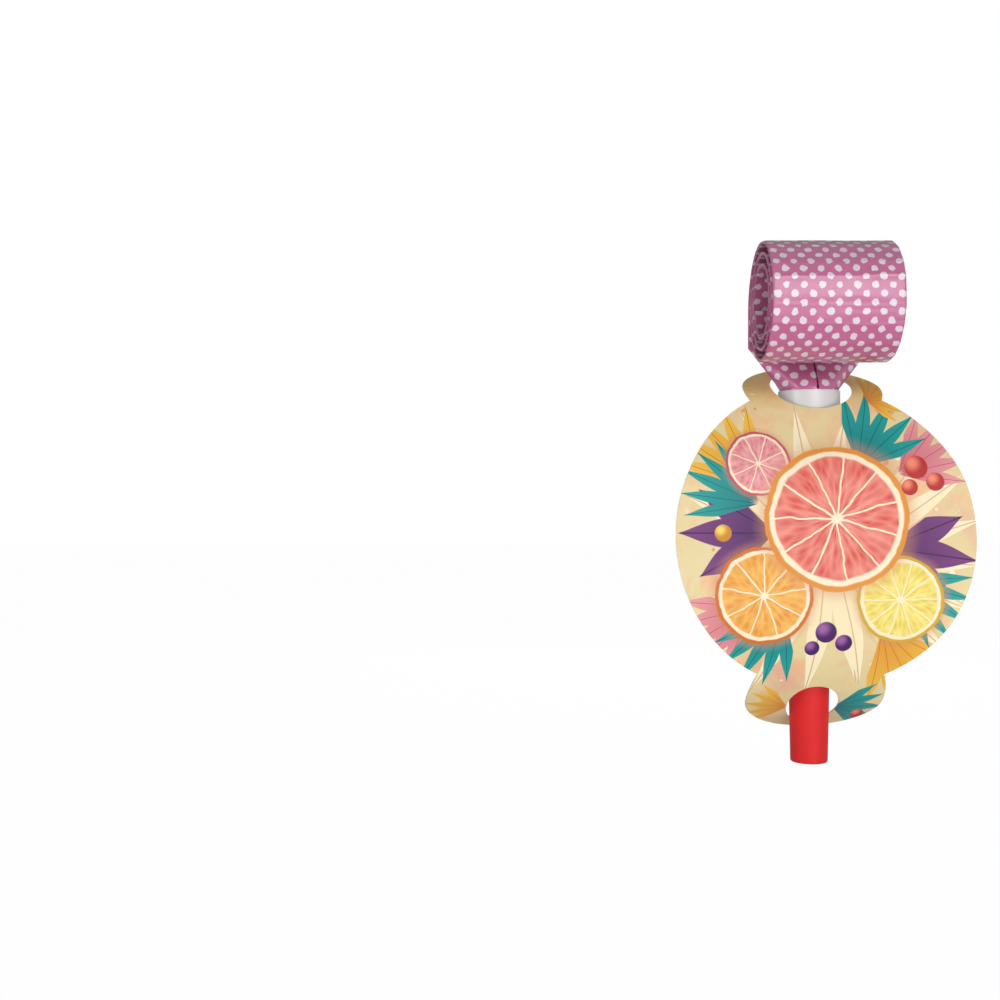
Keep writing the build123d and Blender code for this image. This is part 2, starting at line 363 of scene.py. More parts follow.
for number, line in enumerate(crease_runs):
    if line in seen_runs:
        crease_depths[number], crease_ridges[number] = SEEN_DEPTH, SEEN_RIDGE


def ripple(kind, across, along):
    """A slow, uneven change of height in mm at a place across and along the paper in mm."""
    height, per_across, per_along, layer = kind
    return height * noise.noise((across * per_across, along * per_along, layer))


def crease_offset(across, along):
    """How far, in mm, the paper stands off its arc at a place across and along it in mm."""
    bend = ripple(CREASE_BEND, across, along)
    lines = [start + tilt * across / TILT_REACH + bend for start, tilt in zip(crease_runs, crease_tilts)]
    flat = next(number for number, line in enumerate(lines) if line > along)
    before, after = along - lines[flat - 1], lines[flat] - along
    sink = crease_depths[flat] * before * after / (2 * FIRST_RADIUS / MM)
    ridge = sum(crease_ridges[number] * math.exp(-(gap / RIDGE_WIDTH) ** 2)
                for number, gap in ((flat - 1, before), (flat, after)))
    wave = ripple(PAPER_WAVE, across, along)
    wrinkle = ripple(PAPER_WRINKLE, across, along)
    return wave + wrinkle + ridge - sink


print(len(crease_runs), "creases")

# %% [markdown]
# ## Rolled paper
#
# A piece of the tube reaches from the middle of one CAD length to the middle of the next, so that the
# hinge lies inside the piece. The tube's section is a circle pressed flat: even in thickness, and round at
# its two folds. Spin carries it round the first arc's centre and then round the second's.

# %% Helpers that wind and crease a tube
SECTION_POINTS = 96
HALF_STEPS = 22


def fold_depth(aside, half_width, half_thickness):
    """Half the tube's thickness at a place across it: even, and round at the two folds."""
    past = max(abs(aside) - half_width + half_thickness, 0) / half_thickness
    return half_thickness * math.sqrt(max(1 - past ** 2, 0))


def section(shape, middle, out, half_width, half_thickness, points, turn=0):
    """A circle pressed flat across the paper; returns its edges."""
    spun = Matrix.Rotation(turn, 4, "Z")
    for vert in bmesh.ops.create_circle(shape, segments=points, radius=1, matrix=spun)["verts"]:
        aside = vert.co.x * half_width
        depth = math.copysign(fold_depth(aside, half_width, half_thickness), vert.co.y)
        vert.co = middle + ACROSS * aside + out * depth
    return shape.edges[:]


def extruded(shape, ring):
    """Extrude a ring of edges in place; returns the new verts and the new ring."""
    grown = bmesh.ops.extrude_edge_only(shape, edges=ring)["geom"]
    verts = [item for item in grown if isinstance(item, bmesh.types.BMVert)]
    return verts, [item for item in grown if isinstance(item, bmesh.types.BMEdge) and item.is_boundary]


def wind(shape, edges, arc, turn, steps):
    """Carry a ring of edges round one arc; returns the last ring."""
    ring = edges + list({vert for edge in edges for vert in edge.verts})
    wound = bmesh.ops.spin(shape, geom=ring, cent=arc["centre"], axis=ACROSS, angle=turn, steps=steps)
    return [item for item in wound["geom_last"] if isinstance(item, bmesh.types.BMEdge)]


def cap(shape, *rings):
    """Close the tube at its end rings."""
    for ring in rings:
        bmesh.ops.contextual_create(shape, geom=ring)


def run_on(point, arc_before, arc_after):
    """Distance along the paper in mm, and the outward direction, near the line where two arcs meet."""
    out = outward(arc_after["angle"])
    along = ACROSS.cross(out)
    arc = arc_after if (point - arc_after["centre"]).dot(along) >= 0 else arc_before
    offset = point - arc["centre"]
    angle = math.atan2(offset.dot(along), offset.dot(out))
    return (arc_after["begun"] + arc["radius"] * angle) / MM, outward(arc_after["angle"] + angle)


def crease_and_map(shape, locate):
    """Write the paper's run into a UV map, then press the creases in."""
    uv = shape.loops.layers.uv.new("paper_run")
    for face in shape.faces:
        for loop in face.loops:
            along, _ = locate(loop.vert.co)
            loop[uv].uv = (loop.vert.co.x / MM, along)
    moves = []
    for vert in shape.verts:
        along, out = locate(vert.co)
        moves.append(out * crease_offset(vert.co.x / MM, along) * MM)
    for vert, move in zip(shape.verts, moves):
        vert.co += move


# %% [markdown]
# ### Lengths of the tube
#
# On the real blower the roll is one tube. Here each piece is wound on its own and replaces one CAD length.
# Neighbours end on the same section in the middle of a length, so no step shows between them.

# %% Tube pieces over the hinges between two lengths
for number in range(1, LENGTH_COUNT):
    here, there = arcs[number - 1], arcs[number]
    start, end = place_on(here, 0.5), place_on(there, 0.5)
    shape = bmesh.new()
    out = outward(here["angle"] + LENGTH_TURN / 2)
    first = section(shape, start, out, HALF_WIDTH, HALF_THICKNESS, SECTION_POINTS)
    middle = wind(shape, first, here, LENGTH_TURN / 2, HALF_STEPS)
    last = wind(shape, middle, there, LENGTH_TURN / 2, HALF_STEPS)
    cap(shape, first, last)
    crease_and_map(shape, lambda point: run_on(point, here, there))
    nodes = [f"paper_tube_{number:02d}"]
    piece = finished(shape, f"rolled_paper_{number:02d}", [paper_finish], nodes)
    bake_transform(piece)
print(LENGTH_COUNT - 1, "pieces of tube; the last ends at", [round(v / MM, 2) for v in end])

# %% [markdown]
# ## The tube's two ends
#
# Below the roll the flat tube runs straight down to the neck, and this piece goes on over the first hinge
# into the first arc. The far end of the tube is glued shut: its last section is pinched thin, and the
# piece simply rides on the last length.

# %% First and last piece of the tube
SEAM_HEIGHT = ROLL_START - 4.5 * MM
STRAIGHT_STEPS = 6
TIP_PINCH = 0.35
first_arc, last_arc = arcs[0], arcs[-1]


def straight_run(point):
    """Run and outward direction on the straight tube and the first arc."""
    if point.z < ROLL_START:
        return (point.z - ROLL_START) / MM, outward(0)
    return run_on(point, first_arc, first_arc)


shape = bmesh.new()
first = section(shape, Vector((0, 0, SEAM_HEIGHT)), outward(0), HALF_WIDTH, HALF_THICKNESS, SECTION_POINTS)
ring = first
rise = (ROLL_START - SEAM_HEIGHT) / STRAIGHT_STEPS
for _ in range(STRAIGHT_STEPS):
    verts, ring = extruded(shape, ring)
    bmesh.ops.translate(shape, verts=verts, vec=(0, 0, rise))
last = wind(shape, ring, first_arc, LENGTH_TURN / 2, HALF_STEPS)
cap(shape, first, last)
crease_and_map(shape, straight_run)
piece = finished(shape, "rolled_paper_00", [paper_finish])
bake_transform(piece)

shape = bmesh.new()
tip_out = outward(last_arc["angle"] + LENGTH_TURN / 2)
first = section(shape, place_on(last_arc, 0.5), tip_out, HALF_WIDTH, HALF_THICKNESS, SECTION_POINTS)
last = wind(shape, first, last_arc, LENGTH_TURN / 2, HALF_STEPS)
tip_end_out = outward(last_arc["angle"] + LENGTH_TURN)
for vert in {vert for edge in last for vert in edge.verts}:
    depth = (vert.co - place_on(last_arc, 1)).dot(tip_end_out)
    vert.co -= tip_end_out * depth * (1 - TIP_PINCH)
cap(shape, first, last)
crease_and_map(shape, lambda point: run_on(point, last_arc, last_arc))
nodes = [f"paper_tube_{LENGTH_COUNT:02d}"]
piece = finished(shape, f"rolled_paper_{LENGTH_COUNT:02d}", [paper_finish], nodes)
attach(piece, f"roll_{LENGTH_COUNT:02d}")
print("straight tube from", round(SEAM_HEIGHT / MM, 1), "mm up")

# %% [markdown]
# ## The gathered neck
#
# To fit the round collar the flat tube is opened out and its spare width is folded into a pleat, which
# shows in front as a dark slit, and into faint gathers. A ring of edges is extruded upwards; each new ring
# is set between the collar's circle and the flat section, and the front leaves the collar straight up. The
# print is measured round the neck from its front, so that the spare paper is lost at the sides, and its
# dots grow a little towards the collar.

# %% Neck
COLLAR_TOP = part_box("collar")[1][2]
neck_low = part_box("paper_neck")[0][2]
CUFF_RADIUS = 8.1 * MM
FLARE_TOP = COLLAR_TOP + 12.3 * MM
NECK_POINTS = 360
COLUMN = 2 * math.pi / NECK_POINTS
CUFF_RINGS, FLARE_RINGS, FLAT_RINGS = 5, 34, 12
# The pleat's depth, the share of the neck's own depth that it may take, its place round the neck, its
# lowest point, the height of its round lower end in mm, and how many columns that end and the slit reach.
PLEAT_DEPTH = 2.2 * MM
PLEAT_SHARE = 0.8
PLEAT_TURN = -math.pi / 2 + 4.5 * COLUMN
PLEAT_START = COLLAR_TOP + 0.35 * MM
PLEAT_HOLE = 0.5
HOLE_REACH, SLIT_REACH = 1.6, 0.7
PRINT_GROWTH = 0.75
# Gathers: how many around the neck, where they begin and how deep they are.
GATHERS = ((11, 0.6, 0.10 * MM), (18, 2.0, 0.06 * MM))
neck_levels = list(np.linspace(neck_low, COLLAR_TOP, CUFF_RINGS))
neck_levels += list(np.linspace(COLLAR_TOP, FLARE_TOP, FLARE_RINGS))[1:]
neck_levels += list(np.linspace(FLARE_TOP, SEAM_HEIGHT, FLAT_RINGS))[1:]


def flare_share(height):
    """How far up the flare a height is, from 0 at the collar to 1 where the tube is flat."""
    return min(max((height - COLLAR_TOP) / (FLARE_TOP - COLLAR_TOP), 0), 1)


def neck_point(turn, height):
    """A place on the neck: turn 0 is the right side fold, and a quarter turn back its front."""
    share = flare_share(height)
    flat_x = HALF_WIDTH * (1 - 2 * abs(turn) / math.pi)
    flat_y = math.copysign(fold_depth(flat_x, HALF_WIDTH, HALF_THICKNESS), turn)
    gather = sum(depth * math.cos(count * turn + begin) for count, begin, depth in GATHERS)
    radius = CUFF_RADIUS + 4 * share * (1 - share) * gather
    round_x, round_y = radius * math.cos(turn), radius * math.sin(turn)
    bend = share * share * (3 - 2 * share)
    return Vector((round_x + (flat_x - round_x) * share, round_y + (flat_y - round_y) * bend, height))


shape = bmesh.new()
turn_layer = shape.verts.layers.float.new("turn")
bmesh.ops.create_circle(shape, segments=NECK_POINTS, radius=1)
for vert in shape.verts:
    vert[turn_layer] = math.atan2(vert.co.y, vert.co.x)
    vert.co = neck_point(vert[turn_layer], neck_levels[0])
ring = first = shape.edges[:]
for level in neck_levels[1:]:
    verts, ring = extruded(shape, ring)
    for vert in verts:
        vert.co = neck_point(vert[turn_layer], level)
cap(shape, first, ring)
slant = math.hypot(FLARE_TOP - COLLAR_TOP, CUFF_RADIUS) / (FLARE_TOP - COLLAR_TOP)
uv = shape.loops.layers.uv.new("paper_run")
for loop in (loop for face in shape.faces for loop in face.loops):
    height = loop.vert.co.z
    share = flare_share(height)
    girth = math.pi / 2 * CUFF_RADIUS * (1 - share) + HALF_WIDTH * share
    across = girth * (1 - 2 * abs(loop.vert[turn_layer]) / math.pi)
    across *= PRINT_GROWTH + (1 - PRINT_GROWTH) * share
    along = min(height - FLARE_TOP, 0) * slant * (PRINT_GROWTH + (1 - PRINT_GROWTH) * (1 + share) / 2)
    along += max(height - FLARE_TOP, 0) + FLARE_TOP - ROLL_START
    loop[uv].uv = (across / MM, along / MM)
for vert in shape.verts:
    above = (vert.co.z - PLEAT_START) / MM
    reach = HOLE_REACH if 0 < above < PLEAT_HOLE else SLIT_REACH
    if 0 < above and vert.co.z < SEAM_HEIGHT and abs(vert[turn_layer] - PLEAT_TURN) < reach * COLUMN:
        vert.co.y += min(PLEAT_DEPTH, PLEAT_SHARE * abs(vert.co.y))
neck = finished(shape, "gathered_neck", [paper_finish], ["paper_neck"])
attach(neck, "base")
print("neck from", round(neck_low / MM, 1), "to", round(SEAM_HEIGHT / MM, 1), "mm")

# %% [markdown]
# ## The recoil spring
#
# Inside the tube runs a strip of spring steel that pulls the roll up again. It hardly shows, but it has
# to stay inside the paper when the tube is straight, so it is wound like the paper, with a
# narrow four-sided section.

# %% Material: rolled spring steel
# Cold-rolled strip: grey metal whose fine grain makes its gleam a little uneven.
steel_finish, tree, output = new_finish("rolled_spring_steel")
place = add(tree, "TexCoord").outputs["Object"]
lines = add(tree, "TexNoise", {"Vector": place, "Scale": 1 / (0.4 * MM), "Detail": 3.0})
gleam = add(tree, "MapRange", {"Value": lines.outputs["Fac"], "To Min": 0.25, "To Max": 0.42})
tone = add(tree, "Mix", {"Factor": lines.outputs["Fac"], "A": colour("#8A8C90"), "B": colour("#A6A8AC")},
           data_type="RGBA")
surface = add(tree, "BsdfPrincipled", {"Base Color": tone.outputs["Result"], "Metallic": 1.0,
                                       "Roughness": gleam.outputs[0]})
tree.links.new(surface.outputs[0], output.inputs["Surface"])

# %% [markdown]
# ### Lengths of the strip
#
# The strip is divided as the paper is: the first piece starts at the first hinge, and the last one rides
# on the last length. The root in the neck doesn't bend, so it keeps its CAD mesh and only gets the finish.

# %% Spring pieces
SPRING_CORNERS = 4
SPRING_STEPS = 16
SPRING_TIP = 0.85


def dress(node, finish):
    """Give a finish to a CAD node that keeps its own mesh."""
    materials = frame["nodes"][node].data.materials
    materials.clear()
    materials.append(finish)


spring_half_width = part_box("recoil_spring_01")[1].x * math.sqrt(2)
spring_half_thickness = 0.15 * MM
for number in range(LENGTH_COUNT + 1):
    here, there = arcs[max(number - 1, 0)], arcs[min(number, LENGTH_COUNT - 1)]
    share = 0.5 if number else 0
    start, end = place_on(here, share), place_on(there, 0.5)
    shape = bmesh.new()
    first = ring = section(shape, start, outward(here["angle"] + share * LENGTH_TURN), spring_half_width,
                           spring_half_thickness, SPRING_CORNERS, math.pi / SPRING_CORNERS)
    if 0 < number:
        reach = SPRING_TIP if number == LENGTH_COUNT else 1
        ring = wind(shape, ring, here, reach * LENGTH_TURN / 2, SPRING_STEPS)
    if number < LENGTH_COUNT:
        ring = wind(shape, ring, there, LENGTH_TURN / 2, SPRING_STEPS)
    cap(shape, first, ring)
    crease_and_map(shape, lambda point: run_on(point, here, there if number < LENGTH_COUNT else here))
    nodes = [f"recoil_spring_{number:02d}"] if number else []
    piece = finished(shape, f"spring_strip_{number:02d}", [steel_finish], nodes)
    if number < LENGTH_COUNT:
        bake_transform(piece)
    else:
        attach(piece, f"roll_{number:02d}")
dress("spring_root", steel_finish)
print(LENGTH_COUNT + 1, "pieces of spring strip")

# %% [markdown]
# ## Mouthpiece and collar
#
# Both are injection moulded: a slightly tapered red tube with a shoulder, and a thin white sleeve pushed
# on its spigot. Turned parts are a profile carried once round the axis, which spin does; the rims are
# then rounded by bevel, because no moulded edge is knife sharp and the light shows it.

# %% Material: moulded plastics
# Polypropylene and polystyrene from fine-spark moulds: satin, with faint flow marks along the tube.
moulded = {}
for name, dark, light, gloss, shine in (("red_polypropylene", "#D32326", "#DA292A", (0.40, 0.52), 0.2),
                                        ("white_polystyrene", "#CDCCCB", "#D7D6D5", (0.28, 0.34), 0.5),
                                        ("ivory_polystyrene", "#DDD6C4", "#E6E0D0", (0.35, 0.45), 0.5)):
    moulded[name], tree, output = new_finish("moulded_" + name)
    place = add(tree, "TexCoord").outputs["Object"]
    drawn = add(tree, "Mapping", {"Vector": place, "Scale": (1 / MM, 1 / MM, 0.25 / MM)})
    flow = add(tree, "TexNoise", {"Vector": drawn.outputs[0], "Scale": 0.3, "Detail": 1.0})
    grain = add(tree, "TexNoise", {"Vector": place, "Scale": 1 / (0.35 * MM), "Detail": 2.0})
    tone = add(tree, "Mix", {"Factor": flow.outputs["Fac"], "A": colour(dark), "B": colour(light)},
               data_type="RGBA")
    satin = add(tree, "MapRange", {"Value": flow.outputs["Fac"], "To Min": gloss[0], "To Max": gloss[1]})
    skin = add(tree, "Bump", {"Height": grain.outputs["Fac"], "Strength": 0.12, "Distance": 0.03 * MM})
    surface = add(tree, "BsdfPrincipled", {
        "Base Color": tone.outputs["Result"], "Roughness": satin.outputs[0], "Normal": skin.outputs[0],
        "IOR": 1.5, "Specular IOR Level": shine})
    tree.links.new(surface.outputs[0], output.inputs["Surface"])
print("plastics:", ", ".join(moulded))

# %% [markdown]
# ### Turning the two tubes
#
# Each profile is a closed line of a few corners that have the CAD's own sizes, so the two agree. The rims
# that show, and the one that the sleeve is pushed over, are rounded after the spin, one ring at a time.

# %% Turned mouthpiece and collar
TURN_STEPS = 160
RIM_STEPS = 4
RIM_NEAR = 0.01
# Profiles as (radius, height) in mm, and the rims to round as (radius, height, size).
MOUTHPIECE_PROFILE = ((4.2, 0), (5.25, 0), (6.8, 74), (8.7, 74), (8.7, 76), (8.15, 76), (8.15, 84),
                      (5.8, 84), (5.8, 74), (4.2, 14))
MOUTHPIECE_RIMS = ((5.25, 0, 0.6), (4.2, 0, 0.3), (8.7, 74, 0.35), (8.15, 84, 0.3), (6.8, 74, 0.5))
COLLAR_PROFILE = ((8.2, 76), (8.7, 76), (8.7, 106.2), (8.2, 106.2))
COLLAR_RIMS = ((8.7, 106.2, 0.18), (8.2, 106.2, 0.12), (8.7, 76, 0.15))


def turned(profile):
    """Carry a closed profile of (radius, height) in mm once round the tube's axis."""
    shape = bmesh.new()
    corners = [shape.verts.new((radius * MM, 0, height * MM)) for radius, height in profile]
    sides = [shape.edges.new((corners[place - 1], corner)) for place, corner in enumerate(corners)]
    bmesh.ops.spin(shape, geom=corners + sides, cent=(0, 0, 0), axis=(0, 0, 1), angle=2 * math.pi,
                   steps=TURN_STEPS, use_merge=True)
    bmesh.ops.recalc_face_normals(shape, faces=shape.faces)
    return shape


def round_rim(shape, radius, height, size):
    """Round the rim that runs at one radius and height, all in mm."""
    on_rim = {vert for vert in shape.verts if abs(math.hypot(vert.co.x, vert.co.y) / MM - radius)
              + abs(vert.co.z / MM - height) < RIM_NEAR}
    rim = [edge for edge in shape.edges if on_rim.issuperset(edge.verts)]
    bmesh.ops.bevel(shape, geom=rim, offset=size * MM, affect="EDGES", segments=RIM_STEPS, profile=0.5,
                    material=-1)


shape = turned(MOUTHPIECE_PROFILE)
for rim in MOUTHPIECE_RIMS:
    round_rim(shape, *rim)
mouthpiece = finished(shape, "red_mouthpiece", [moulded["red_polypropylene"]], ["mouthpiece"])
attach(mouthpiece, "base")
shape = turned(COLLAR_PROFILE)
for rim in COLLAR_RIMS:
    round_rim(shape, *rim)
collar = finished(shape, "white_collar", [moulded["white_polystyrene"]], ["collar"])
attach(collar, "base")
for node in ("reed_holder", "reed_clamp"):
    dress(node, moulded["ivory_polystyrene"])
print("turned pieces:", mouthpiece.name, collar.name)

# %% [markdown]
# ## The reed
#
# A thin brass tongue buzzes over a channel in its holder when air passes. It is hidden and flat, so its
# CAD mesh is kept as it is and only gets a finish.

# %% Material: brass reed
# Rolled brass shim: yellow metal with fine lines and a little tarnish.
brass_finish, tree, output = new_finish("rolled_brass_shim")
place = add(tree, "TexCoord").outputs["Object"]
drawn = add(tree, "Mapping", {"Vector": place, "Scale": (1 / MM, 1 / MM, 0.1 / MM)})
lines = add(tree, "TexNoise", {"Vector": drawn.outputs[0], "Scale": 4.0, "Detail": 3.0})
tone = add(tree, "Mix", {"Factor": lines.outputs["Fac"], "A": colour("#B58B43"), "B": colour("#D3AE62")},
           data_type="RGBA")
gleam = add(tree, "MapRange", {"Value": lines.outputs["Fac"], "To Min": 0.22, "To Max": 0.4})
surface = add(tree, "BsdfPrincipled", {"Base Color": tone.outputs["Result"], "Metallic": 1.0,
                                       "Roughness": gleam.outputs[0]})
tree.links.new(surface.outputs[0], output.inputs["Surface"])
dress("reed_tongue", brass_finish)
print("reed tongue in", brass_finish.name)

# %% [markdown]
# ## The card's print
#
# The card is board with a coated, printed front in warm colours: a pale ground like watercolour, a large
# coral motif and teal and purple leaves towards the rim. Slices of fruit and fans of leaves give that.
# Each motif is a small recipe: a Mapping node lays the card's front flat with the motif's middle at zero
# and its edge at one, and the distance and the angle from there draw everything else.

# %% Recipes for the printed motifs
FAR = 1000.0
SLICE_SWAY = (0.09, 0.09, 0)
OUTER_LEAVES_SHORTER = 1.3
LEAF_TAPER = 1.4


def fruit_slice(tree, place, under, spot, size, turn, parts, pale, deep, rind):
    """Lay a cut slice of fruit on the colour under it; spot and size in mm."""
    flat = add(tree, "Mapping", {
        "Vector": place, "Location": (spot[0] * MM, 0, spot[1] * MM), "Scale": (size * MM, size * MM, FAR),
        "Rotation": (math.radians(90), math.radians(turn), 0)}, vector_type="TEXTURE")
    sway = add(tree, "TexNoise", {"Vector": flat.outputs[0], "Scale": 3.0, "Detail": 2.0})
    sway = add(tree, "VectorMath", {0: sway.outputs["Color"], 1: (0.5, 0.5, 0.5)}, operation="SUBTRACT")
    flat = add(tree, "VectorMath", {0: sway.outputs[0], 1: SLICE_SWAY, 2: flat.outputs[0]},
               operation="MULTIPLY_ADD")
    reach = add(tree, "VectorMath", {0: flat.outputs[0]}, operation="LENGTH").outputs["Value"]
    angle = add(tree, "TexGradient", {"Vector": flat.outputs[0]}, gradient_type="RADIAL").outputs["Fac"]
    wedge = add(tree, "Math", {0: angle, 1: float(parts)}, operation="MULTIPLY")
    fold = add(tree, "Math", {0: wedge.outputs[0], 1: 0.5}, operation="PINGPONG")
    skin = add(tree, "Math", {0: fold.outputs[0], 1: reach}, operation="MULTIPLY")
    skin = add(tree, "MapRange", {"Value": skin.outputs[0], "From Min": 0.012, "From Max": 0.03},
               interpolation_type="SMOOTHSTEP")
    core = add(tree, "MapRange", {"Value": reach, "From Min": 0.05, "From Max": 0.1},
               interpolation_type="SMOOTHSTEP")
    edge = add(tree, "MapRange", {"Value": reach, "From Min": 0.86, "From Max": 0.82},
               interpolation_type="SMOOTHSTEP")
    flesh = add(tree, "Math", {0: skin.outputs[0], 1: core.outputs[0]}, operation="MULTIPLY")
    flesh = add(tree, "Math", {0: flesh.outputs[0], 1: edge.outputs[0]}, operation="MULTIPLY")
    drops = add(tree, "CombineXYZ", {"X": wedge.outputs[0], "Y": reach})
    drops = add(tree, "TexVoronoi", {"Vector": drops.outputs[0], "Scale": 4.5}, feature="F1")
    juice = add(tree, "Mix", {"Factor": drops.outputs["Distance"], "A": colour(deep), "B": colour(pale)},
                data_type="RGBA")
    # A halo, the rind and the pith: each fades in from one share of the slice's edge to another.
    for outer, inner, most, tint in ((1.2, 0.95, 0.45, "#C98A6A"), (1.0, 0.98, 1.0, rind),
                                     (0.93, 0.905, 1.0, "#F7E6C6")):
        disc = add(tree, "MapRange", {"Value": reach, "From Min": outer, "From Max": inner, "To Max": most},
                   interpolation_type="SMOOTHSTEP")
        under = add(tree, "Mix", {"Factor": disc.outputs[0], "A": under, "B": colour(tint)},
                    data_type="RGBA").outputs["Result"]
    return add(tree, "Mix", {"Factor": flesh.outputs[0], "A": under, "B": juice.outputs["Result"]},
               data_type="RGBA").outputs["Result"]


def leaf_fan(tree, place, under, spot, size, turn, leaves, pitch, width, root, tip, rib):
    """Lay a fan of an odd number of leaves on the colour under it; pitch is in leaves per turn."""
    flat = add(tree, "Mapping", {
        "Vector": place, "Location": (spot[0] * MM, 0, spot[1] * MM), "Scale": (size * MM, size * MM, FAR),
        "Rotation": (math.radians(90), math.radians(-turn), 0)}, vector_type="TEXTURE")
    angle = add(tree, "TexGradient", {"Vector": flat.outputs[0]}, gradient_type="RADIAL").outputs["Fac"]
    aside = add(tree, "Math", {0: angle, 1: 0.5}, operation="SUBTRACT")
    aside = add(tree, "Math", {0: aside.outputs[0]}, operation="ABSOLUTE").outputs[0]
    sector = add(tree, "Math", {0: aside, 1: leaves / pitch / 2}, operation="LESS_THAN")
    reach = add(tree, "VectorMath", {0: flat.outputs[0]}, operation="LENGTH").outputs["Value"]
    short = add(tree, "Math", {0: aside, 1: OUTER_LEAVES_SHORTER, 2: 1.0}, operation="MULTIPLY_ADD")
    along = add(tree, "Math", {0: reach, 1: short.outputs[0]}, operation="MULTIPLY").outputs[0]
    turned_by = add(tree, "Math", {0: angle, 1: float(pitch)}, operation="MULTIPLY")
    fold = add(tree, "Math", {0: turned_by.outputs[0], 1: 0.5}, operation="PINGPONG")
    off = add(tree, "Math", {0: fold.outputs[0], 1: reach}, operation="MULTIPLY").outputs[0]
    swell = add(tree, "Math", {0: along, 1: math.pi}, operation="MULTIPLY")
    swell = add(tree, "Math", {0: swell.outputs[0]}, operation="SINE")
    swell = add(tree, "Math", {0: swell.outputs[0], 1: LEAF_TAPER}, operation="POWER")
    spare = add(tree, "Math", {0: swell.outputs[0], 1: width}, operation="MULTIPLY")
    spare = add(tree, "Math", {0: spare.outputs[0], 1: off}, operation="SUBTRACT")
    blade = add(tree, "MapRange", {"Value": spare.outputs[0], "From Max": 0.012},
                interpolation_type="SMOOTHSTEP")
    inside = add(tree, "Math", {0: along, 1: 1.0}, operation="LESS_THAN")
    blade = add(tree, "Math", {0: blade.outputs[0], 1: sector.outputs[0]}, operation="MULTIPLY")
    blade = add(tree, "Math", {0: blade.outputs[0], 1: inside.outputs[0]}, operation="MULTIPLY")
    tint = add(tree, "Mix", {"Factor": along, "A": colour(root), "B": colour(tip)}, data_type="RGBA")
    vein = add(tree, "MapRange", {"Value": off, "From Min": 0.016, "From Max": 0.006})
    tint = add(tree, "Mix", {"Factor": vein.outputs[0], "A": tint.outputs["Result"], "B": colour(rib)},
               data_type="RGBA")
    return add(tree, "Mix", {"Factor": blade.outputs[0], "A": under, "B": tint.outputs["Result"]},
               data_type="RGBA").outputs["Result"]


def berry(tree, place, under, spot, size, dark, light):
    """Lay one round berry, lit from above, on the colour under it; spot and size in mm."""
    flat = add(tree, "Mapping", {
        "Vector": place, "Location": (spot[0] * MM, 0, spot[1] * MM), "Scale": (size * MM, size * MM, FAR),
        "Rotation": (math.radians(90), 0, 0)}, vector_type="TEXTURE")
    reach = add(tree, "VectorMath", {0: flat.outputs[0]}, operation="LENGTH").outputs["Value"]
    disc = add(tree, "MapRange", {"Value": reach, "From Min": 1.0, "From Max": 0.93},
               interpolation_type="SMOOTHSTEP")
    glint = add(tree, "VectorMath", {0: flat.outputs[0], 1: (-0.3, 0.35, 0)}, operation="DISTANCE")
    glint = add(tree, "MapRange", {"Value": glint.outputs["Value"], "From Min": 0.95, "From Max": 0.1},
                interpolation_type="SMOOTHSTEP")
    tint = add(tree, "Mix", {"Factor": glint.outputs[0], "A": colour(dark), "B": colour(light)},
               data_type="RGBA")
    return add(tree, "Mix", {"Factor": disc.outputs[0], "A": under, "B": tint.outputs["Result"]},
               data_type="RGBA").outputs["Result"]


# %% [markdown]
# ## Laying out the print
#
# The print is stacked like a painter's layers: washes and painted light over the top lobe first, pale fans
# that look faded by distance, then the dark leaves, and the fruit on top. Places are millimetres from the
# tube's axis and up from the mouth.

# %% Material: coated printed board
# White-lined board, offset printed and coated: even satin with a fine paper tooth under the varnish.
print_finish, tree, output = new_finish("coated_printed_board")
place = add(tree, "TexCoord").outputs["Object"]
wash = add(tree, "TexNoise", {"Vector": place, "Scale": 1 / (22 * MM), "Detail": 3.0, "Distortion": 0.6})
bloom = add(tree, "TexNoise", {"Vector": place, "Scale": 1 / (13 * MM), "Detail": 4.0, "Distortion": 1.2})
ground = add(tree, "Mix", {"Factor": wash.outputs["Fac"], "A": colour("#DDC68F"), "B": colour("#E8D7A8")},
             data_type="RGBA")
peach = add(tree, "MapRange", {"Value": bloom.outputs["Fac"], "From Min": 0.5, "From Max": 0.68})
blush = add(tree, "MapRange", {"Value": wash.outputs["Fac"], "From Min": 0.42, "From Max": 0.3,
                               "To Max": 0.8})
heights = add(tree, "SeparateXYZ", {0: place})
# Lighter and yellower towards the top lobe: painted light that lifts the shade the roll casts there.
painted_light_on_top = add(tree, "MapRange", {"Value": heights.outputs["Z"], "From Min": 99 * MM, "From Max": 108 * MM,
                               "To Max": 0.85}, interpolation_type="SMOOTHSTEP")
ink = ground.outputs["Result"]
for share, tint in ((peach, "#E9B98C"), (blush, "#E2A595"), (painted_light_on_top, "#F5D27E")):
    ink = add(tree, "Mix", {"Factor": share.outputs[0], "A": ink, "B": colour(tint)},
              data_type="RGBA").outputs["Result"]
spots = add(tree, "TexVoronoi", {"Vector": place, "Scale": 1 / (3.4 * MM), "Randomness": 1.0}, feature="F1")
chance = add(tree, "SeparateColor", {0: spots.outputs["Color"]})
drop_size = add(tree, "MapRange", {"Value": chance.outputs[0], "From Min": 0.45, "To Max": 0.26})
splash = add(tree, "Math", {0: spots.outputs["Distance"], 1: drop_size.outputs[0]}, operation="LESS_THAN")
drop_tint = add(tree, "Mix", {"Factor": chance.outputs[1], "A": colour("#F7EBC8"), "B": colour("#DE8F6C")},
                data_type="RGBA")
ink = add(tree, "Mix", {"Factor": splash.outputs[0], "A": ink, "B": drop_tint.outputs["Result"]},
          data_type="RGBA").outputs["Result"]
